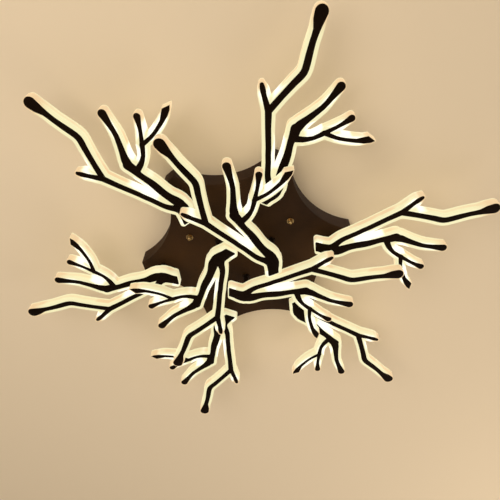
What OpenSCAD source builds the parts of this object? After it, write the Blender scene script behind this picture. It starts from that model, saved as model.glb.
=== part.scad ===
// Branch chandelier: a star-shaped ceiling pan that carries nine glowing branch heads on hollow stems.
// Millimetres. The origin is the middle of the pan's opening on the ceiling, and +Z points up into it.
// Six heads stand in an outer ring under the star's tips and three in a lower inner ring, like a pinwheel.
// Each head hangs on its own stem and can be turned by hand on it.

/* [Canopy] */
// Radius from the middle to the star's six flat tips
canopy_tip_r = 229; // [205:1:260]
// Radius from the middle to the hollow of each side
canopy_valley_r = 170; // [150:1:185]
// Width of each flat tip
canopy_tip_w = 31; // [26:1:44]
// Depth from the ceiling to the visible face
canopy_depth = 43; // [38:1:60]
// Thickness of the steel sheet
canopy_sheet = 1.2; // [0.8:0.1:2]
// Radius of the fold between the face and the hollow sides
canopy_fold_r = 3; // [2.6:0.1:6]
// Radius of the fold at the flat tips
canopy_tip_fold_r = 2.6; // [2.2:0.1:5]

/* [Ceiling bracket] */
// Thickness of the bracket plate
bracket_t = 2; // [1.5:0.5:4]
// Width of each of the three arms
bracket_arm_w = 26; // [20:1:36]
// Outer diameter of the hub
bracket_hub_d = 104; // [90:1:130]
// Diameter of the cable hole in the hub
bracket_cable_d = 50; // [30:1:70]
// Depth of the stiffening flanges along the arms
bracket_flange_h = 3; // [2:0.5:5]
// Radius of the circle of ceiling screws
screw_circle_r = 92; // [80:1:100]
// Diameter of the holes for the ceiling screws
screw_hole_d = 5; // [4.5:0.1:6]

/* [Canopy fixings] */
// Radius of the circle of hanger studs
stud_circle_r = 124; // [118:1:140]
// Diameter of a hanger stud
stud_d = 5; // [4:0.5:6]
// Width across the flats of a cap nut
cap_nut_af = 9; // [8:0.5:12]
// Height of a cap nut's hexagon
cap_nut_h = 5; // [4:0.5:7]
// Diameter of the washer under a cap nut
cap_washer_d = 15; // [13:0.5:20]
// Thickness of the washer under a cap nut
cap_washer_t = 1.2; // [0.8:0.1:2]

/* [Head rings] */
// Radius of the circle of outer stems, which stand under the star's tips
outer_stem_r = 184; // [178:1:195]
// Direction of an outer head, from the radius through its stem
outer_turn = -4; // [-8:0.5:4]
// Height of the outer heads' lower face under the pan's face
outer_hang = 41; // [37:1:57]
// Radius of the circle of inner stems
inner_stem_r = 65; // [62:1:72]
// Angle of the first inner stem
inner_phase = -50; // [-56:1:-44]
// Direction of an inner head, from the radius through its stem
inner_turn = -95.5; // [-97:0.5:-92]
// Height of the inner heads' lower face under the pan's face
inner_hang = 71; // [69:1:97]

/* [Stems] */
// Outer diameter of the threaded tube
stem_d = 10; // [8:0.5:12]
// Bore of the threaded tube
stem_bore_d = 7; // [5:0.5:8]
// Width across the flats of a stem nut
stem_nut_af = 14; // [13:0.5:17]
// Height of a stem nut
stem_nut_h = 4; // [3:0.5:6]
// Length of tube above the upper stem nut
stem_tail = 4; // [2:0.5:8]
// Diameter of a swivel washer
washer_d = 18; // [16:0.5:20]
// Thickness of a swivel washer
washer_t = 1; // [0.5:0.1:2]

/* [Heads] */
// Thickness of the acrylic diffuser
diffuser_t = 18.5; // [16:0.5:24]
// Width of the glowing rim around the face plate
rim_w = 6.5; // [5:0.5:8]
// Width of the glowing rim at the cut root end
root_rim_w = 2; // [1.5:0.5:4]
// Width of the glowing rim at the ends of the twigs
tip_rim_w = 1.3; // [1:0.1:3]
// Thickness of the painted face plate
face_plate_t = 1.5; // [1:0.1:2]
// Thickness of the painted back plate
back_plate_t = 1.5; // [1:0.1:2]
// Inset of the back plate from the face plate's outline
back_plate_inset = 1; // [0:0.5:2]
// Thickness of the light board
board_t = 1; // [0.8:0.1:1.6]
// Inset of the light board from the face plate's outline
board_inset = 2; // [1.5:0.1:2.5]
// Depth of the groove above the face plate that holds the light board
groove_depth = 4; // [3:0.5:6]
// Diameter of the ferrule on the back plate
ferrule_d = 17; // [15:0.5:20]
// Height of the ferrule
ferrule_h = 5; // [4:0.5:8]

/* [Electrics] */
// Length of a driver's housing
driver_l = 112; // [90:1:124]
// Width of a driver's housing
driver_w = 34; // [28:1:38]
// Height of a driver's housing
driver_h = 24; // [20:1:27]
// Radius of a driver housing's corners
driver_corner_r = 4; // [2:0.5:8]
// Distance of the drivers and the terminal block from the middle
driver_r = 118; // [112:1:124]
// Diameter of the small fixing screws
fixing_d = 3; // [2.5:0.5:4]

/* [Hidden] */
$fn = 64;
OUTER = 6;
INNER = 3;
CURVE_STEPS = 2;
HIDDEN_STEPS = 1;
TIP_STEPS = 5;
FOLD_STEPS = 4;
running_gap = 0.1;
clear_gap = 0.3;
slip = 0.2;
cut = 1;

face_z = -canopy_depth;
inside_z = face_z + canopy_sheet;

// One head, seen from above with its root end at the left: centre-line points as [x, y, width].
// The long arm sweeps right to a swollen tip, and the other arm fans into three twigs.
// A fourth value is the share of the full rim left there, as the rim thins to its width at a twig's end.
long_arm = [
    [20, 10.5, 18.5], [28, 10.4, 19], [36, 8, 16.4], [46, 0.8, 12.6], [55, -3.8, 11.6], [65, -7, 10.8],
    [85, -11.8, 10.6], [98, -15.8, 10.6], [112, -19.4, 10.6], [130, -25, 10.8], [148, -30.5, 11], [177, -38.5, 12.5]
];
long_twig = [[177, -38.5, 12.5], [208, -24, 11], [237, -9.7, 12], [250, -2.6, 12.5], [262, 0, 12.5],
    [284, -1.5, 12], [305, -2.6, 10.8], [323, -2.4, 12, 0.85], [337, -3.8, 18.6, 0.3], [350, -3.8, 22, 0]];
short_twig = [
    [177, -38.5, 12], [200, -52.5, 9], [207, -56.3, 10, 0.85], [213, -59.5, 9.6, 0.5], [218, -62, 7.5, 0.15]
];
fan_arm = [
    [8.5, 4, 21.6], [14, 7.2, 22.4], [25, 13.7, 26.5], [34, 15.2, 30], [43, 20, 21.8],
    [54, 18.9, 18.5], [64, 17.4, 16.2], [75, 16.8, 15.4], [85, 16.9, 15.6], [97, 17.6, 15.4], [109, 17.6, 14.2],
    [121, 16.7, 12.8], [133, 15.8, 13], [147, 17.2, 17.4], [160, 16.6, 19]
];
fan_twig_1 = [
    [158, 17, 18], [170, 22.5, 16.2], [182, 30.8, 12.4], [208, 48.7, 9.8], [228, 57.5, 10.6, 0.65], [250, 66, 16, 0]
];
fan_fork = [[141, 17, 13], [144, 35, 11], [151.5, 52, 8], [165.5, 67.5, 10]];
fan_twig_2 = [[165.5, 67.5, 9], [181, 84, 7], [192, 94, 8.5, 0.6], [203.5, 103.5, 13, 0]];
fan_twig_3 = [[165.5, 67.5, 9], [162.8, 90, 7.3], [163.9, 108, 7], [167.4, 129, 8.2, 0.8], [170.5, 139, 9, 0.45],
    [173.3, 147, 9, 0.1]];
// The root end is a flat cut, and the last twig ends like a snapped stick.
root_corner_r = 2.5;
root_rim_corner_r = 6;
root_end_tilt = 9;
snapped_end = [
    [163.6, 130], [171.5, 127], [178, 138.5], [181, 144.6], [175.4, 159.2], [170, 152.5], [165.6, 141.5]
];
stem_at = [33, 18];

outer_axes = [for (k = [0 : OUTER - 1]) 30 + k * 360 / OUTER];
inner_axes = [for (k = [0 : INNER - 1]) inner_phase + k * 360 / INNER];
stem_axes = concat(outer_axes, inner_axes);
// How far each head has been turned by hand from its ring's direction
hand_set = [2, -1.5, 0, -1, 0.5, 0.5, 1.5, -1, -0.5];
HEADS = OUTER + INNER;
function is_outer(k) = k < OUTER;
function stem_r(k) = is_outer(k) ? outer_stem_r : inner_stem_r;
function head_turn(k) = (is_outer(k) ? outer_turn : inner_turn) + hand_set[k];
function low_z(k) = face_z - (is_outer(k) ? outer_hang : inner_hang);
function top_z(k) = low_z(k) + diffuser_t;
function ferrule_z(k) = top_z(k) + back_plate_t + ferrule_h;

nut_corner_d = stem_nut_af / cos(30);
pocket_d = max(nut_corner_d, washer_d) + 2 * cut;
pocket_depth = washer_t + stem_nut_h + stem_tail;
stem_bottom_gap = cut;

canopy_chord = canopy_tip_r * sin(30) - canopy_tip_w / 2 * cos(30);
canopy_sagitta = canopy_tip_r * cos(30) + canopy_tip_w / 2 * sin(30) - canopy_valley_r;
canopy_arc_r = (canopy_chord * canopy_chord + canopy_sagitta * canopy_sagitta) / (2 * canopy_sagitta);
canopy_arc_at = canopy_valley_r + canopy_arc_r;

stud_axes = [60, 180, 300];
driver_axes = [0, 120];
terminal_axis = 240;
lug_l = 10;
lug_t = 2;
lug_reach = driver_l / 2 + lug_l / 2;
post_d = 7;
post_h = 3;
terminal_l = 36;
terminal_w = 16;
terminal_h = 14;
terminal_poles = [-13, -6, 6, 13];
pole_screw_d = 3.4;
pole_wire_d = 3;
pole_depth = 5;
lid_h = 3;
lid_inset = 0.5;
gland_d = 7;
gland_depth = 3;
CORNER_STEPS = 3;
ROOT_STEPS = 6;
fixing_head_d = 5.5;
fixing_head_h = 2;

paint = [0.13, 0.09, 0.07];
acrylic = [1, 0.93, 0.78];
zinc = [0.75, 0.75, 0.76];
brass = [0.85, 0.68, 0.38];
white = [0.93, 0.93, 0.9];

// ---- Outlines of one head ----

// A point on the smooth curve from b to c, where a and d are the points before and after them
function between(a, b, c, d, t) =
    b + (c - a) * t / 2 + (2 * a - 5 * b + 4 * c - d) * t * t / 2 + (3 * b - a - 3 * c + d) * t * t * t / 2;

// The centre line with smooth steps added between its points
function smoothed(p, steps) = [
    for (i = [0 : len(p) - 2], s = [0 : steps - 1])
        between(p[max(i - 1, 0)], p[i], p[i + 1], p[min(i + 2, len(p) - 1)], s / steps),
    p[len(p) - 1]
];

// The direction of the centre line at point i
function heading(p, i) =
    let (a = p[max(i - 1, 0)], b = p[min(i + 1, len(p) - 1)])
    atan2(b[1] - a[1], b[0] - a[0]);

// The centre line as [x, y, half width], made wider or narrower all round, and with the rim if it is rimmed
function widened(line, grow, rimmed) = [
    for (q = line)
        let (share = len(q) > 3 ? q[3] : 1, rim = rimmed ? tip_rim_w + (rim_w - tip_rim_w) * share : 0)
        [q[0], q[1], q[2] / 2 + grow + rim]
];

// The point on the edge beside point i, at an angle from the centre line's direction
function edge_point(p, i, angle) =
    let (turn = heading(p, i) + angle)
    [p[i][0] + cos(turn) * p[i][2], p[i][1] + sin(turn) * p[i][2]];

// A round corner between the tilted cut across the root end and the edge of the limb on one side
function root_corner(p, side, r, beyond) =
    let (
        h = heading(p, 0), along = [cos(h), sin(h)], inward = [cos(h - side), sin(h - side)],
        across = [cos(root_end_tilt), sin(root_end_tilt)], start = edge_point(p, 0, side) + r * inward,
        centre = start + (r - beyond - start * across) / (along * across) * along,
        from = side > 0 ? h + side : root_end_tilt + 180, to = side > 0 ? root_end_tilt + 180 : h + 360 + side
    )
    [for (s = [0 : ROOT_STEPS]) let (a = from + (to - from) * s / ROOT_STEPS) centre + r * [cos(a), sin(a)]];

// A tapering limb along a centre line, with a round far end, and with a cut root end if it has one
module limb(line, grow, rimmed, steps, rooted = false) {
    p = smoothed(widened(line, grow, rimmed), steps);
    last = len(p) - 1;
    tip_steps = steps * TIP_STEPS;
    corner_r = rimmed ? root_rim_corner_r : root_corner_r;
    beyond = rimmed ? root_rim_w : grow;
    polygon(concat(
        rooted ? root_corner(p, -90, corner_r, beyond) : [],
        [for (i = [0 : last - 1]) edge_point(p, i, -90)],
        [for (s = [0 : tip_steps]) edge_point(p, last, 180 * s / tip_steps - 90)],
        [for (i = [last - 1 : -1 : 0]) edge_point(p, i, 90)],
        rooted ? root_corner(p, 90, corner_r, beyond) : []
    ));
}

// The branch outline with its stem at the origin, of the plate or of the acrylic with its rim
module branch_outline(grow = 0, rimmed = false, steps = CURVE_STEPS) {
    translate(-stem_at) {
        limb(fan_arm, grow, rimmed, steps, rooted = true);
        for (line = [long_arm, long_twig, short_twig, fan_twig_1, fan_fork, fan_twig_2, fan_twig_3])
            limb(line, grow, rimmed, steps);
        offset(delta = rimmed ? tip_rim_w : grow, chamfer = rimmed)
            polygon(snapped_end);
    }
}

// ---- Placing ----

// At the stem of head k, with X along the radius through it
module at_stem(k) {
    rotate(stem_axes[k])
        translate([stem_r(k), 0, 0])
            children();
}

// In the frame of head k: the stem's axis is Z, and X runs along the head
module at_head(k) {
    at_stem(k)
        rotate(head_turn(k))
            children();
}

module hex_nut(af, h, bore) {
    difference() {
        cylinder(d = af / cos(30), h = h, $fn = 6);
        translate([0, 0, -cut])
            cylinder(d = bore, h = h + 2 * cut);
    }
}

module ring(d, bore, h) {
    difference() {
        cylinder(d = d, h = h);
        translate([0, 0, -cut])
            cylinder(d = bore, h = h + 2 * cut);
    }
}

// ---- Head pieces ----

module back_plate(k) {
    color(paint)
        at_head(k)
            difference() {
                union() {
                    translate([0, 0, top_z(k)])
                        linear_extrude(back_plate_t)
                            branch_outline(-back_plate_inset);
                    translate([0, 0, top_z(k)])
                        cylinder(d = ferrule_d, h = back_plate_t + ferrule_h);
                }
                translate([0, 0, top_z(k) - cut])
                    cylinder(d = stem_d + 2 * running_gap, h = back_plate_t + ferrule_h + 2 * cut);
            }
}

module diffuser(k) {
    groove_z = low_z(k) + face_plate_t;
    color(acrylic)
        at_head(k)
            difference() {
                translate([0, 0, low_z(k)])
                    linear_extrude(diffuser_t)
                        branch_outline(rimmed = true);
                translate([0, 0, low_z(k) - cut])
                    linear_extrude(face_plate_t + cut)
                        branch_outline(slip);
                translate([0, 0, groove_z - cut])
                    linear_extrude(groove_depth + cut)
                        branch_outline(slip - board_inset, steps = HIDDEN_STEPS);
                translate([0, 0, top_z(k) - pocket_depth])
                    cylinder(d = pocket_d, h = pocket_depth + cut);
                translate([0, 0, groove_z])
                    cylinder(d = stem_bore_d, h = diffuser_t - face_plate_t);
            }
}

module light_board(k) {
    color(white)
        at_head(k)
            translate([0, 0, low_z(k) + face_plate_t])
                linear_extrude(board_t)
                    branch_outline(-board_inset, steps = HIDDEN_STEPS);
}

module face_plate(k) {
    color(paint)
        at_head(k)
            translate([0, 0, low_z(k)])
                linear_extrude(face_plate_t)
                    branch_outline();
}

// ---- Stems and their nuts ----

stem_top_z = inside_z + stem_nut_h + stem_tail;

module stem(k) {
    bottom_z = top_z(k) - pocket_depth + stem_bottom_gap;
    color(zinc)
        at_stem(k)
            translate([0, 0, bottom_z])
                ring(stem_d, stem_bore_d, stem_top_z - bottom_z);
}

module stem_nuts() {
    color(zinc)
        for (k = [0 : HEADS - 1])
            at_stem(k) {
                translate([0, 0, inside_z])
                    hex_nut(stem_nut_af, stem_nut_h, stem_d);
                translate([0, 0, face_z - stem_nut_h])
                    hex_nut(stem_nut_af, stem_nut_h, stem_d);
            }
}

module swivel_washers() {
    color(brass)
        for (k = [0 : HEADS - 1])
            at_stem(k) {
                translate([0, 0, top_z(k) - washer_t])
                    ring(washer_d, stem_d, washer_t);
                translate([0, 0, ferrule_z(k)])
                    ring(washer_d, stem_d, washer_t);
            }
}

module swivel_nuts() {
    color(zinc)
        for (k = [0 : HEADS - 1])
            at_stem(k) {
                translate([0, 0, top_z(k) - washer_t - stem_nut_h])
                    hex_nut(stem_nut_af, stem_nut_h, stem_d);
                translate([0, 0, ferrule_z(k) + washer_t])
                    hex_nut(stem_nut_af, stem_nut_h, stem_d);
            }
}

// ---- Canopy ----

// The quarter-round between the face and a side: [distance in from the side, height above the face]
function fold_arc(r) = [
    for (s = [0 : FOLD_STEPS])
        let (a = 90 * s / FOLD_STEPS)
        [r - r * sin(a), r - r * cos(a)]
];

// The round cutter that hollows one side of the star and rolls its edge over to the face
module side_cutter(arc_r, fold_r, h) {
    rotate_extrude($fn = 96)
        polygon(concat(
            [[0, -cut], [arc_r + fold_r, -cut]],
            [for (p = fold_arc(fold_r)) [arc_r + p[0], p[1]]],
            [[arc_r, h + cut], [0, h + cut]]
        ));
}

// The straight cutter that squares off one tip and rolls its edge over to the face
module tip_cutter(fold_r, h) {
    reach = 2 * cut;
    translate([0, canopy_tip_w, 0])
        rotate([90, 0, 0])
            linear_extrude(2 * canopy_tip_w)
                polygon(concat(
                    [[reach, -cut], [-fold_r, -cut]],
                    [for (p = fold_arc(fold_r)) [-p[0], p[1]]],
                    [[0, h + cut], [reach, h + cut]]
                ));
}

// The star as a solid block, drawn in on every side but the ceiling's by the inset
module star_block(inset) {
    low = face_z + inset;
    high = inset > 0 ? cut : 0;
    flat_r = canopy_tip_r - inset;
    difference() {
        translate([0, 0, low])
            cylinder(r = (flat_r + cut) / cos(30), h = high - low, $fn = 6);
        for (k = [0 : 5])
            rotate(k * 60)
                translate([canopy_arc_at, 0, low])
                    side_cutter(canopy_arc_r + inset, canopy_fold_r - inset, high - low);
        for (k = [0 : 5])
            rotate(30 + k * 60)
                translate([flat_r, 0, low])
                    tip_cutter(canopy_tip_fold_r - inset, high - low);
    }
}

// A weld post inside the canopy that a small screw bites into
module weld_post() {
    translate([0, 0, inside_z - canopy_sheet / 2])
        cylinder(d = post_d, h = post_h + canopy_sheet / 2);
}

module at_drivers() {
    for (a = driver_axes)
        rotate(a)
            translate([driver_r, 0, 0])
                children();
}

module at_driver_lugs() {
    at_drivers()
        for (side = [-1, 1])
            translate([0, side * lug_reach, 0])
                children();
}

module at_terminal() {
    rotate(terminal_axis)
        translate([driver_r, 0, 0])
            children();
}

module canopy() {
    color(paint)
        difference() {
            union() {
                difference() {
                    star_block(0);
                    star_block(canopy_sheet);
                }
                at_driver_lugs()
                    weld_post();
                at_terminal()
                    weld_post();
            }
            for (k = [0 : HEADS - 1])
                at_stem(k)
                    translate([0, 0, face_z - cut])
                        cylinder(d = stem_d, h = canopy_sheet + 2 * cut);
            for (a = stud_axes)
                rotate(a)
                    translate([stud_circle_r, 0, face_z - cut])
                        cylinder(d = stud_d + 2 * clear_gap, h = canopy_sheet + 2 * cut);
            at_driver_lugs()
                translate([0, 0, inside_z])
                    cylinder(d = fixing_d, h = post_h + cut);
            at_terminal()
                translate([0, 0, inside_z])
                    cylinder(d = fixing_d, h = post_h + cut);
        }
}

// ---- Ceiling bracket and its fixings ----

module ceiling_bracket() {
    arm_end_r = bracket_arm_w / 2;
    flange_from = bracket_hub_d / 2 - bracket_t;
    flange_l = stud_circle_r - arm_end_r - flange_from;
    color(zinc)
        difference() {
            union() {
                translate([0, 0, -bracket_t])
                    cylinder(d = bracket_hub_d, h = bracket_t);
                for (a = stud_axes)
                    rotate(a) {
                        translate([0, -arm_end_r, -bracket_t])
                            cube([stud_circle_r, bracket_arm_w, bracket_t]);
                        translate([stud_circle_r, 0, -bracket_t])
                            cylinder(r = arm_end_r, h = bracket_t);
                        for (y = [-arm_end_r, arm_end_r - bracket_t])
                            translate([flange_from, y, -bracket_t - bracket_flange_h])
                                cube([flange_l, bracket_t, bracket_flange_h + bracket_t]);
                    }
            }
            translate([0, 0, -bracket_t - cut])
                cylinder(d = bracket_cable_d, h = bracket_t + 2 * cut);
            for (a = stud_axes)
                rotate(a) {
                    translate([stud_circle_r, 0, -bracket_t - cut])
                        cylinder(d = stud_d, h = bracket_t + 2 * cut);
                    translate([screw_circle_r, 0, -bracket_t - cut])
                        cylinder(d = screw_hole_d, h = bracket_t + 2 * cut);
                }
        }
}

stud_bottom_z = face_z - cap_washer_t - cap_nut_h;

module hanger_studs() {
    collar_t = 1.5;
    color(zinc)
        for (a = stud_axes)
            rotate(a)
                translate([stud_circle_r, 0, 0]) {
                    translate([0, 0, stud_bottom_z])
                        cylinder(d = stud_d, h = -stud_bottom_z);
                    translate([0, 0, -bracket_t - collar_t])
                        cylinder(d = stud_d * 1.8, h = collar_t);
                }
}

module cap_washers() {
    color(brass)
        for (a = stud_axes)
            rotate(a)
                translate([stud_circle_r, 0, face_z - cap_washer_t])
                    ring(cap_washer_d, stud_d, cap_washer_t);
}

module cap_nuts() {
    dome_r = cap_nut_af / 2;
    color(brass)
        for (a = stud_axes)
            rotate(a)
                translate([stud_circle_r, 0, stud_bottom_z])
                    difference() {
                        union() {
                            cylinder(d = cap_nut_af / cos(30), h = cap_nut_h, $fn = 6);
                            sphere(r = dome_r, $fn = 48);
                        }
                        cylinder(d = stud_d, h = cap_nut_h + cut);
                    }
}

// ---- Electrics inside the canopy ----

lug_z = inside_z + post_h;

// A rectangle with rounded corners, as points
function rounded_rect(x, y, r) = [
    for (corner = [[1, 1, 0], [-1, 1, 90], [-1, -1, 180], [1, -1, 270]], s = [0 : CORNER_STEPS])
        let (a = corner[2] + 90 * s / CORNER_STEPS)
        [corner[0] * (x / 2 - r) + r * cos(a), corner[1] * (y / 2 - r) + r * sin(a)]
];

// A driver's housing with its lid, a fixing lug at each end and a recess where its leads enter
module driver(a) {
    lid_w = driver_w - 2 * lid_inset;
    lid_l = driver_l - 2 * lid_inset;
    color(white)
        rotate(a)
            translate([driver_r, 0, lug_z])
                difference() {
                    union() {
                        linear_extrude(driver_h - lid_h)
                            polygon(rounded_rect(driver_w, driver_l, driver_corner_r));
                        linear_extrude(driver_h)
                            polygon(rounded_rect(lid_w, lid_l, driver_corner_r));
                        linear_extrude(lug_t)
                            polygon(rounded_rect(lug_l, driver_l + 2 * lug_l, lug_l / 3));
                    }
                    for (side = [-1, 1]) {
                        translate([0, side * lug_reach, -cut])
                            cylinder(d = fixing_d, h = lug_t + 2 * cut);
                        translate([0, side * driver_l / 2, driver_h / 2])
                            rotate([90, 0, 0])
                                cylinder(d = gland_d, h = 2 * gland_depth, center = true);
                    }
                }
}

module terminal_block() {
    color(white)
        at_terminal()
            translate([0, 0, lug_z])
                difference() {
                    linear_extrude(terminal_h)
                        polygon(rounded_rect(terminal_w, terminal_l, 2));
                    translate([0, 0, -cut])
                        cylinder(d = fixing_d, h = terminal_h + 2 * cut);
                    translate([0, 0, lug_t])
                        cylinder(d = fixing_head_d + 2 * clear_gap, h = terminal_h);
                    for (y = terminal_poles) {
                        translate([0, y, terminal_h - pole_depth])
                            cylinder(d = pole_screw_d, h = pole_depth + cut);
                        for (side = [-1, 1])
                            translate([side * terminal_w / 2, y, terminal_h / 3])
                                rotate([0, 90, 0])
                                    cylinder(d = pole_wire_d, h = pole_depth, center = true);
                    }
                }
}

module fixing_screw() {
    translate([0, 0, inside_z])
        cylinder(d = fixing_d, h = post_h + lug_t);
    translate([0, 0, lug_z + lug_t])
        cylinder(d = fixing_head_d, h = fixing_head_h);
}

module fixing_screws() {
    color(zinc) {
        at_driver_lugs()
            fixing_screw();
        at_terminal()
            fixing_screw();
    }
}

canopy();
ceiling_bracket();
hanger_studs();
cap_washers();
cap_nuts();
driver(driver_axes[0]);  // driver_1
driver(driver_axes[1]);  // driver_2
terminal_block();
fixing_screws();
stem_nuts();
swivel_washers();
swivel_nuts();
stem(0);  // stem_1
stem(1);  // stem_2
stem(2);  // stem_3
stem(3);  // stem_4
stem(4);  // stem_5
stem(5);  // stem_6
stem(6);  // stem_7
stem(7);  // stem_8
stem(8);  // stem_9
back_plate(0);  // back_plate_1
back_plate(1);  // back_plate_2
back_plate(2);  // back_plate_3
back_plate(3);  // back_plate_4
back_plate(4);  // back_plate_5
back_plate(5);  // back_plate_6
back_plate(6);  // back_plate_7
back_plate(7);  // back_plate_8
back_plate(8);  // back_plate_9
diffuser(0);  // diffuser_1
diffuser(1);  // diffuser_2
diffuser(2);  // diffuser_3
diffuser(3);  // diffuser_4
diffuser(4);  // diffuser_5
diffuser(5);  // diffuser_6
diffuser(6);  // diffuser_7
diffuser(7);  // diffuser_8
diffuser(8);  // diffuser_9
light_board(0);  // light_board_1
light_board(1);  // light_board_2
light_board(2);  // light_board_3
light_board(3);  // light_board_4
light_board(4);  // light_board_5
light_board(5);  // light_board_6
light_board(6);  // light_board_7
light_board(7);  // light_board_8
light_board(8);  // light_board_9
face_plate(0);  // face_plate_1
face_plate(1);  // face_plate_2
face_plate(2);  // face_plate_3
face_plate(3);  // face_plate_4
face_plate(4);  // face_plate_5
face_plate(5);  // face_plate_6
face_plate(6);  // face_plate_7
face_plate(7);  // face_plate_8
face_plate(8);  // face_plate_9
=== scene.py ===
"""The looks of the branch chandelier: camera, materials, edge-softened glowing heads, stage and light."""

import math

import bmesh
import bpy
from mathutils import Matrix, Vector
from mathutils.kdtree import KDTree


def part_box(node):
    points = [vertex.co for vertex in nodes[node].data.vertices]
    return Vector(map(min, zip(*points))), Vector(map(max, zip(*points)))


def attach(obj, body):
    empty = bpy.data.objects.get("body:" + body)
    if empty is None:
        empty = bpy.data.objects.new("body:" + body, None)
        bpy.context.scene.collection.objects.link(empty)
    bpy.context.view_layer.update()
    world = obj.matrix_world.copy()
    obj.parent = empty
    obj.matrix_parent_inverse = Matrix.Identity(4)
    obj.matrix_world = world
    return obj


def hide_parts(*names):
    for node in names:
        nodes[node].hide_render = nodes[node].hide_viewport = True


MM = 0.001
HEADS = range(1, 10)
OUTER_HEADS = range(1, 7)

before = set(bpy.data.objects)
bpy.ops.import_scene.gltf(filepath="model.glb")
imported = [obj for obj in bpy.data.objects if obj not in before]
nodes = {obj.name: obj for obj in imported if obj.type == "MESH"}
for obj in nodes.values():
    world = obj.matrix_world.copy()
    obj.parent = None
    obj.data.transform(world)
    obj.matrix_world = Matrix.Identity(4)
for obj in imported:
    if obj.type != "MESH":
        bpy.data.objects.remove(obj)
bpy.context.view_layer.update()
scene = bpy.context.scene

# ---- Camera: the photograph was taken from below, with the top of the picture towards -Y ----

CAMERA_AT = Vector((-0.1835, -0.6092, -0.9299))
LOOK = Vector((0.17527, 0.55105, 0.81586))
PICTURE_RIGHT = Vector((0.94731, -0.32006, 0.01267))
FOCAL_PX = 505.8
PICTURE_PX = 500
SENSOR_MM = 36
CLIP_NEAR = 0.01
CLIP_FAR = 50

camera_data = bpy.data.cameras.new("camera")
camera_data.sensor_width = SENSOR_MM
camera_data.lens = FOCAL_PX / PICTURE_PX * SENSOR_MM
camera_data.clip_start = CLIP_NEAR
camera_data.clip_end = CLIP_FAR
camera = bpy.data.objects.new("camera", camera_data)
scene.collection.objects.link(camera)
back = -LOOK.normalized()
right = (PICTURE_RIGHT - back * PICTURE_RIGHT.dot(back)).normalized()
up = back.cross(right)
camera.matrix_world = Matrix.Translation(CAMERA_AT) @ Matrix((right, up, back)).transposed().to_4x4()
scene.camera = camera

# ---- Node helpers ----


class Shader:
    """A material with its node tree, and short ways to add and join nodes."""

    def __init__(self, name):
        self.material = bpy.data.materials.new(name)
        self.material.use_nodes = True
        self.tree = self.material.node_tree
        self.tree.nodes.clear()
        self.out = self.add("ShaderNodeOutputMaterial")

    def add(self, kind, inputs=None, **settings):
        """A new node with its settings made and its inputs set or joined."""
        node = self.tree.nodes.new(kind)
        for key, value in settings.items():
            setattr(node, key, value)
        for key, value in (inputs or {}).items():
            self.put(node.inputs[key], value)
        return node

    def put(self, socket, value):
        """Sets a socket to a plain value, or joins an output to it."""
        if isinstance(value, bpy.types.NodeSocket):
            self.tree.links.new(value, socket)
        else:
            socket.default_value = value

    def point(self):
        """The place on the object."""
        return self.add("ShaderNodeTexCoord").outputs["Object"]

    def stretched(self, scale):
        """The place on the object, scaled along each axis."""
        return self.add("ShaderNodeMapping", {"Vector": self.point(), "Scale": scale}).outputs[0]

    def noise(self, scale, detail, roughness=0.5, at=None):
        """Noise over the object, from 0 to 1."""
        inputs = {"Scale": scale, "Detail": detail, "Roughness": roughness}
        inputs["Vector"] = self.point() if at is None else at
        return self.add("ShaderNodeTexNoise", inputs).outputs["Fac"]

    def math(self, operation, a, b, clamp=False):
        return self.add("ShaderNodeMath", {0: a, 1: b}, operation=operation, use_clamp=clamp).outputs[0]

    def times(self, a, b):
        return self.math("MULTIPLY", a, b)

    def swing(self, fac, amount):
        """A value about 0 from one about a half."""
        return self.times(self.math("SUBTRACT", fac, 0.5), amount)

    def ramp(self, fac, stops):
        """A colour for each value, from (place, colour) stops."""
        node = self.add("ShaderNodeValToRGB", {"Fac": fac})
        elements = node.color_ramp.elements
        while len(elements) < len(stops):
            elements.new(0.5)
        for element, (place, colour) in zip(elements, stops):
            element.position = place
            element.color = (*colour, 1)
        return node.outputs["Color"]

    def mixed(self, fac, first, second):
        """A blend of two colours, each an output or three numbers."""
        node = self.add("ShaderNodeMix", data_type="RGBA")
        for key, value in (("Factor_Float", fac), ("A_Color", first), ("B_Color", second)):
            socket = next(i for i in node.inputs if i.identifier == key)
            self.put(socket, (*value, 1) if isinstance(value, tuple) else value)
        return next(o for o in node.outputs if o.identifier == "Result_Color")

    def mixed_value(self, fac, first, second):
        """A blend of two numbers."""
        rest = self.times(first, self.math("SUBTRACT", 1.0, fac))
        return self.math("ADD", rest, self.times(second, fac))

    def step(self, value, low, high):
        """0 below one value, 1 above another, and a smooth step between them."""
        return self.add("ShaderNodeMapRange", {"Value": value, "From Min": low, "From Max": high},
                        interpolation_type="SMOOTHSTEP").outputs[0]

    def between(self, fac, low, high):
        """A value between two others."""
        return self.add("ShaderNodeMapRange", {"Value": fac, "To Min": low, "To Max": high}).outputs[0]

    def bump(self, height, distance):
        return self.add("ShaderNodeBump", {"Height": height, "Distance": distance, "Strength": 1.0}).outputs[0]

    def surface(self, **inputs):
        """Ends the material in a Principled shader with these inputs."""
        names = {key.replace("_", " "): value for key, value in inputs.items()}
        bsdf = self.add("ShaderNodeBsdfPrincipled", names)
        self.put(self.out.inputs["Surface"], bsdf.outputs[0])
        return self.material


def srgb(red, green, blue):
    """The linear colour of an 8-bit screen colour."""
    return tuple(((v / 255 + 0.055) / 1.055) ** 2.4 if v > 10 else v / 255 / 12.92 for v in (red, green, blue))


def darker(colour, share):
    return tuple(value * share for value in colour)


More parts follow.
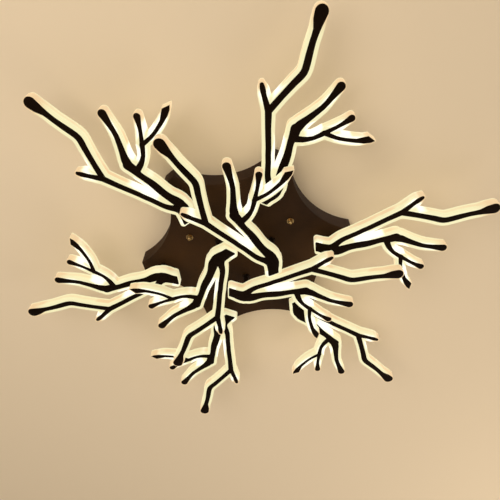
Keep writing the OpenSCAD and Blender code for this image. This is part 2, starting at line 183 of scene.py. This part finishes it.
def paint(name, dark, light, rough_low, rough_high, metallic, peel, gloss=0.5):
    """Satin paint on sheet metal: faint clouds of colour, orange peel, and dust that dulls the gloss."""
    s = Shader(name)
    clouds = s.noise(9.0, 4.0)
    grain = s.noise(420.0, 2.0)
    colour = s.ramp(s.math("ADD", s.times(clouds, 0.8), s.times(grain, 0.2)), [(0.3, dark), (0.7, light)])
    dust = s.noise(60.0, 5.0, 0.65)
    peel_height = s.noise(900.0, 1.0)
    return s.surface(Base_Color=colour, Roughness=s.between(dust, rough_low, rough_high), Metallic=metallic,
                     Specular_IOR_Level=gloss, Normal=s.bump(peel_height, peel))


def metal(name, colour, rough, scratch):
    """Plated metal with fine turning lines and slightly uneven tone."""
    s = Shader(name)
    tone = s.noise(70.0, 4.0)
    shade = s.ramp(tone, [(0.35, darker(colour, 0.82)), (0.65, colour)])
    lines = s.noise(500.0, 2.0, at=s.stretched((0.3, 0.3, 6.0)))
    return s.surface(Base_Color=shade, Metallic=1.0, Roughness=s.between(lines, rough, rough + 0.16),
                     Normal=s.bump(lines, scratch))


def plastic(name, colour, rough):
    """Moulded plastic with a fine spark-eroded grain."""
    s = Shader(name)
    grain = s.noise(1400.0, 2.0)
    tone = s.noise(25.0, 3.0)
    shade = s.ramp(tone, [(0.3, darker(colour, 0.9)), (0.7, colour)])
    return s.surface(Base_Color=shade, Roughness=s.between(grain, rough, rough + 0.12),
                     Normal=s.bump(grain, 0.05 * MM))


# ---- Glowing acrylic ----

# Stored on each point of a diffuser, all from 0 to 1: the depth behind the rim, the nearness to a twig end, and
# how closely other walls stand round the point
DEPTH, END, NOOK = "depth", "end", "nook"
RIM_LIGHT = srgb(255, 249, 200)
WALL_LIGHT = srgb(255, 251, 200)
WALL_SEAM = srgb(254, 234, 184)
BACK_LIGHT = srgb(255, 244, 196)
WALL_PEACH = srgb(248, 206, 158)
# Painted highlight: the whiter glow given to the forks, standing in for the light that facing walls throw on each
# other
FORK_PAINTED_LIGHT = srgb(255, 255, 238)
END_LIGHT = srgb(246, 208, 160)
DEPTH_STOPS = [
    (0.0, RIM_LIGHT), (0.25, WALL_LIGHT), (0.5, WALL_SEAM), (0.68, WALL_SEAM), (0.86, WALL_LIGHT),
    (1.0, BACK_LIGHT),
]
RIM_DEPTH = 0.004
GLOW_STRENGTH = 0.74
# Painted highlight: the extra glow strength given to the forks, for the same light between facing walls
FORK_PAINTED_BOOST = 0.3
BODY_COLOUR = (0.26, 0.22, 0.12)


def acrylic():
    """Opal acrylic lit from its board: cream with peach clouds, a painted highlight that makes the forks whiter
    and stronger where facing walls would light each other, peach at the ends.
    """
    s = Shader("opal_acrylic")
    depth, end, nook = (s.add("ShaderNodeAttribute", attribute_name=name).outputs["Fac"]
                        for name in (DEPTH, END, NOOK))
    mottle = s.noise(45.0, 3.0)
    clouds = s.noise(16.0, 2.0)
    fine = s.noise(220.0, 3.0)

    wander = s.math("ADD", depth, s.swing(mottle, 0.12), clamp=True)
    behind_rim = s.math("GREATER_THAN", depth, RIM_DEPTH)
    light = s.ramp(s.mixed_value(behind_rim, depth, wander), DEPTH_STOPS)

    band = s.math("SUBTRACT", s.step(depth, 0.12, 0.34), s.step(depth, 0.7, 0.9))
    patch = s.times(s.step(clouds, 0.48, 0.62), band)
    light = s.mixed(s.times(patch, 0.85), light, WALL_PEACH)

    # Painted highlight: where other walls crowd round a point, the glow turns whiter, standing in for the light
    # the facing walls throw on each other
    painted_fork_light = s.step(nook, 0.0, 0.55)
    light = s.mixed(s.times(painted_fork_light, 0.95), light, FORK_PAINTED_LIGHT)

    fade = s.math("ADD", end, s.swing(mottle, 0.35), clamp=True)
    fade = s.times(fade, s.math("POWER", end, 0.5))
    fade = s.times(fade, s.math("SUBTRACT", 1.0, s.step(depth, 0.8, 0.95)))
    light = s.mixed(fade, light, END_LIGHT)

    # Painted highlight: the forks also glow stronger
    strength = s.math("ADD", GLOW_STRENGTH, s.times(painted_fork_light, FORK_PAINTED_BOOST))
    body = s.mixed(mottle, BODY_COLOUR, darker(BODY_COLOUR, 0.86))
    return s.surface(Base_Color=body, Roughness=s.between(fine, 0.16, 0.3), IOR=1.49,
                     Emission_Color=light, Emission_Strength=strength, Normal=s.bump(fine, 0.03 * MM))


# ---- Materials ----

materials = {
    "canopy": paint("canopy_paint", srgb(41, 24, 9), srgb(66, 41, 17), 0.5, 0.66, 0.0, 0.02 * MM, 0.1),
    "plate": paint("plate_paint", srgb(15, 7, 2), srgb(29, 16, 7), 0.5, 0.66, 0.0, 0.02 * MM, 0.03),
    "dark": paint("dark_plating", srgb(34, 24, 17), srgb(58, 42, 30), 0.3, 0.45, 0.7, 0.01 * MM),
    "zinc": metal("zinc_plate", (0.60, 0.60, 0.62), 0.24, 0.02 * MM),
    "brass": metal("polished_brass", (0.78, 0.55, 0.24), 0.16, 0.01 * MM),
    "bronze": metal("dark_bronze", (0.42, 0.27, 0.11), 0.14, 0.01 * MM),
    "driver": plastic("driver_case", (0.82, 0.82, 0.79), 0.4),
    "board": plastic("board_mask", (0.80, 0.79, 0.73), 0.3),
    "acrylic": acrylic(),
}

NODE_MATERIALS = {
    "canopy": "canopy", "ceiling_bracket": "zinc", "hanger_studs": "zinc", "cap_washers": "bronze",
    "cap_nuts": "bronze", "driver_1": "driver", "driver_2": "driver", "terminal_block": "driver",
    "fixing_screws": "zinc", "stem_nuts": "dark", "swivel_washers": "brass", "swivel_nuts": "dark",
}
for head in HEADS:
    NODE_MATERIALS.update({
        f"stem_{head}": "dark", f"back_plate_{head}": "plate", f"diffuser_{head}": "acrylic",
        f"light_board_{head}": "board", f"face_plate_{head}": "plate",
    })

for name, node in nodes.items():
    node.data.materials.clear()
    node.data.materials.append(materials[NODE_MATERIALS[name]])

# ---- Pieces that stand in for CAD nodes: copies of their meshes ----

WELD = 0.001 * MM
LEVEL = 0.01 * MM
FLAT = math.radians(1)
EDGE = math.radians(45)
SMOOTH = math.radians(30)


def welded(node_name):
    """A copy of a CAD node's mesh, and the same as a bmesh with its points joined."""
    mesh = nodes[node_name].data.copy()
    work = bmesh.new()
    work.from_mesh(mesh)
    bmesh.ops.remove_doubles(work, verts=work.verts, dist=WELD)
    return mesh, work


def made(work, mesh, new_name):
    """A new object from a finished bmesh."""
    work.to_mesh(mesh)
    work.free()
    piece = bpy.data.objects.new(new_name, mesh)
    scene.collection.objects.link(piece)
    return piece


def cleaned(node_name, new_name):
    """A copy of a CAD node without the slivers that its curved faces leave."""
    mesh, work = welded(node_name)
    bmesh.ops.dissolve_degenerate(work, dist=WELD, edges=work.edges)
    return made(work, mesh, new_name)


def softened(node_name, new_name, levels, width, segments):
    """A copy of a CAD node with its outline edges rounded over at the given heights."""
    mesh, work = welded(node_name)
    bmesh.ops.dissolve_limit(work, angle_limit=FLAT, verts=work.verts, edges=work.edges)
    edges = []
    for edge in work.edges:
        if len(edge.link_faces) != 2:
            continue
        a, b = (v.co.z for v in edge.verts)
        at_level = any(abs(a - z) < LEVEL and abs(b - z) < LEVEL for z in levels)
        if at_level and edge.calc_face_angle() > EDGE and edge.is_convex:
            edges.append(edge)
    bmesh.ops.bevel(work, geom=edges, offset=width, segments=segments, profile=0.5, affect="EDGES",
                    clamp_overlap=True)
    bmesh.ops.triangulate(work, faces=[f for f in work.faces if len(f.verts) > 4])
    return made(work, mesh, new_name)


def stand_in(piece, body, node_name):
    """Shades a piece smoothly and puts it in a CAD node's place."""
    mesh = piece.data
    mesh.polygons.foreach_set("use_smooth", [True] * len(mesh.polygons))
    mesh.set_sharp_from_angle(angle=SMOOTH)
    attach(piece, body)
    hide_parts(node_name)


# ---- Heads, and how brightly each point of them glows ----

# As in the CAD source: the stems' circles and angles, and how each head is turned on its stem
STEM_RING_R = {True: 184 * MM, False: 65 * MM}
STEM_AXES = (30, 90, 150, 210, 270, 330, -50, 70, 190)
RING_TURN = {True: -4.0, False: -95.5}
HAND_SET = (2, -1.5, 0, -1, 0.5, 0.5, 1.5, -1, -0.5)
STEM_IN_HEAD = Vector((33 * MM, 18 * MM))
# Each free twig end in the head's own plane, and how far back from it the light fades
TWIG_ENDS = (
    (Vector((350, -4)) * MM, 38 * MM), (Vector((220, -63)) * MM, 20 * MM), (Vector((252, 67)) * MM, 24 * MM),
    (Vector((205, 105)) * MM, 22 * MM), (Vector((175, 150)) * MM, 22 * MM),
)
END_GAIN = 1.6
# A side is a wall where it stands upright over most of the thickness
UPRIGHT = 0.3
WALL_SHARE = 0.6
WALL_STEP = 1 * MM
NOOK_R = 17 * MM
NOOK_SPAN = 22.0
ACRYLIC_EDGE = 0.8 * MM
PLATE_EDGE = 0.35 * MM
BACK_PLATE_T = 1.5 * MM


def clamped(value):
    return max(0.0, min(1.0, value))


def twig_ends(head):
    """The head's twig ends in the shared frame."""
    outer = head in OUTER_HEADS
    axis = math.radians(STEM_AXES[head - 1])
    direction = axis + math.radians(RING_TURN[outer] + HAND_SET[head - 1])
    stem = Vector((math.cos(axis), math.sin(axis))) * STEM_RING_R[outer]
    turn = Matrix.Rotation(direction, 2)
    return [(stem + turn @ (end - STEM_IN_HEAD), fade) for end, fade in TWIG_ENDS]


def wall_points(mesh, thickness):
    """Points along the outline of a head, a step apart."""
    spans = set()
    for side in mesh.polygons:
        corners = [mesh.vertices[i].co for i in side.vertices]
        heights = [corner.z for corner in corners]
        if abs(side.normal.z) < UPRIGHT and max(heights) - min(heights) > WALL_SHARE * thickness:
            flats = sorted({(round(corner.x, 5), round(corner.y, 5)) for corner in corners})
            spans.add((flats[0], flats[-1]))
    places = []
    for a, b in sorted(spans):
        a, b = Vector(a), Vector(b)
        steps = max(1, round((b - a).length / WALL_STEP))
        places += [a.lerp(b, (i + 0.5) / steps) for i in range(steps)]
    return places


def store_light(piece, head, low, high):
    """Stores the three values that the acrylic's glow is made from on each point."""
    mesh = piece.data
    ends = twig_ends(head)
    walls = wall_points(mesh, high - low)
    tree = KDTree(len(walls))
    for i, place in enumerate(walls):
        tree.insert(place.to_3d(), i)
    tree.balance()
    along_one_wall = 2 * NOOK_R / WALL_STEP
    levels = {DEPTH: [], END: [], NOOK: []}
    for vertex in mesh.vertices:
        flat = vertex.co.xy
        levels[DEPTH].append(clamped((vertex.co.z - low) / (high - low)))
        nearness = max(1 - (flat - end).length / fade for end, fade in ends)
        levels[END].append(clamped(END_GAIN * nearness))
        crowd = len(tree.find_range(flat.to_3d(), NOOK_R)) - along_one_wall
        levels[NOOK].append(clamped(crowd / NOOK_SPAN) * (1 - levels[END][-1]))
    for name, values in levels.items():
        mesh.attributes.new(name, "FLOAT", "POINT").data.foreach_set("value", values)


for head in HEADS:
    body = f"head_{head}"
    diffuser, face_plate, back_plate = f"diffuser_{head}", f"face_plate_{head}", f"back_plate_{head}"
    low, high = (corner.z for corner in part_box(diffuser))
    ferrule_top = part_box(back_plate)[1].z

    glass = softened(diffuser, f"acrylic_{head}", (low, high), ACRYLIC_EDGE, 3)
    store_light(glass, head, low, high)
    stand_in(glass, body, diffuser)

    face = softened(face_plate, f"face_{head}", (low,), PLATE_EDGE, 2)
    stand_in(face, body, face_plate)

    cover = softened(back_plate, f"cover_{head}", (high + BACK_PLATE_T, ferrule_top), PLATE_EDGE, 2)
    stand_in(cover, body, back_plate)

# ---- The pan and its fittings ----

COPIES = (
    ("canopy", "pan", "canopy_paint"), ("ceiling_bracket", "mounting_bracket", "zinc_steel"),
    ("hanger_studs", "studs", "zinc_steel"), ("cap_washers", "dome_washers", "brass"),
    ("cap_nuts", "dome_nuts", "brass"), ("stem_nuts", "tube_nuts", "dark_steel"),
    ("swivel_nuts", "head_nuts", "dark_steel"),
)
for name, new_name, slot in COPIES:
    stand_in(cleaned(name, new_name), "root", name)

# ---- Stage: a pale ceiling behind the light, a pale floor below it, and soft light ----

CEILING_Z = 0.6 * MM
FLOOR_Z = -2.4
STAGE_HALF = 7.0
PLASTER = srgb(242, 218, 184)
WORLD_COLOUR = (1.0, 0.98, 0.95, 1)
WORLD_STRENGTH = 0.55
AIM = Vector((0, 0, 0))


def stage_plane(name, z, order, material):
    """A large flat square that isn't part of the object; the order of its corners turns it up or down."""
    mesh = bpy.data.meshes.new(name)
    corners = [(x * STAGE_HALF, y * STAGE_HALF, z) for x, y in ((-1, -1), (1, -1), (1, 1), (-1, 1))]
    mesh.from_pydata(corners, [], [order])
    mesh.materials.append(material)
    plane = bpy.data.objects.new(name, mesh)
    scene.collection.objects.link(plane)


def ceiling_material():
    """Pale plaster that is seen from below and in reflections, and lets every other ray through."""
    s = Shader("ceiling_plaster")
    path = s.add("ShaderNodeLightPath").outputs
    seen = s.math("MAXIMUM", path["Is Camera Ray"],
                  s.math("MAXIMUM", path["Is Glossy Ray"], path["Is Transmission Ray"]))
    from_below = s.math("SUBTRACT", 1.0, s.add("ShaderNodeNewGeometry").outputs["Backfacing"])
    plaster = s.add("ShaderNodeBsdfDiffuse", {"Color": (*PLASTER, 1)})
    clear = s.add("ShaderNodeBsdfTransparent")
    mix = s.add("ShaderNodeMixShader", {0: s.times(seen, from_below), 1: clear.outputs[0], 2: plaster.outputs[0]})
    s.put(s.out.inputs["Surface"], mix.outputs[0])
    return s.material


def floor_material():
    """A matt floor with a faint change of tone."""
    s = Shader("pale_floor")
    shade = s.ramp(s.noise(3.0, 3.0), [(0.3, srgb(222, 219, 213)), (0.7, srgb(225, 222, 216))])
    return s.surface(Base_Color=shade, Roughness=0.7)


def softbox(name, place, size, power, colour):
    """A square soft lamp that points at the middle of the object."""
    data = bpy.data.lights.new(name, "AREA")
    data.size = size
    data.energy = power
    data.color = colour
    lamp = bpy.data.objects.new(name, data)
    lamp.location = place
    lamp.rotation_mode = "QUATERNION"
    lamp.rotation_quaternion = (AIM - Vector(place)).to_track_quat("-Z", "Y")
    scene.collection.objects.link(lamp)


stage_plane("ceiling", CEILING_Z, (3, 2, 1, 0), ceiling_material())
stage_plane("floor", FLOOR_Z, (0, 1, 2, 3), floor_material())

scene.world = bpy.data.worlds.new("world")
scene.world.use_nodes = True
background = scene.world.node_tree.nodes["Background"].inputs
background["Color"].default_value = WORLD_COLOUR
background["Strength"].default_value = WORLD_STRENGTH

softbox("key", (-1.3, -0.9, -1.5), 1.4, 16, (1.0, 0.97, 0.93))
softbox("fill", (1.5, 0.6, -1.1), 1.6, 9, (1.0, 0.96, 0.9))
softbox("top", (0.4, -0.5, 1.5), 1.4, 12, (1.0, 0.98, 0.96))

scene.view_settings.view_transform = "Standard"
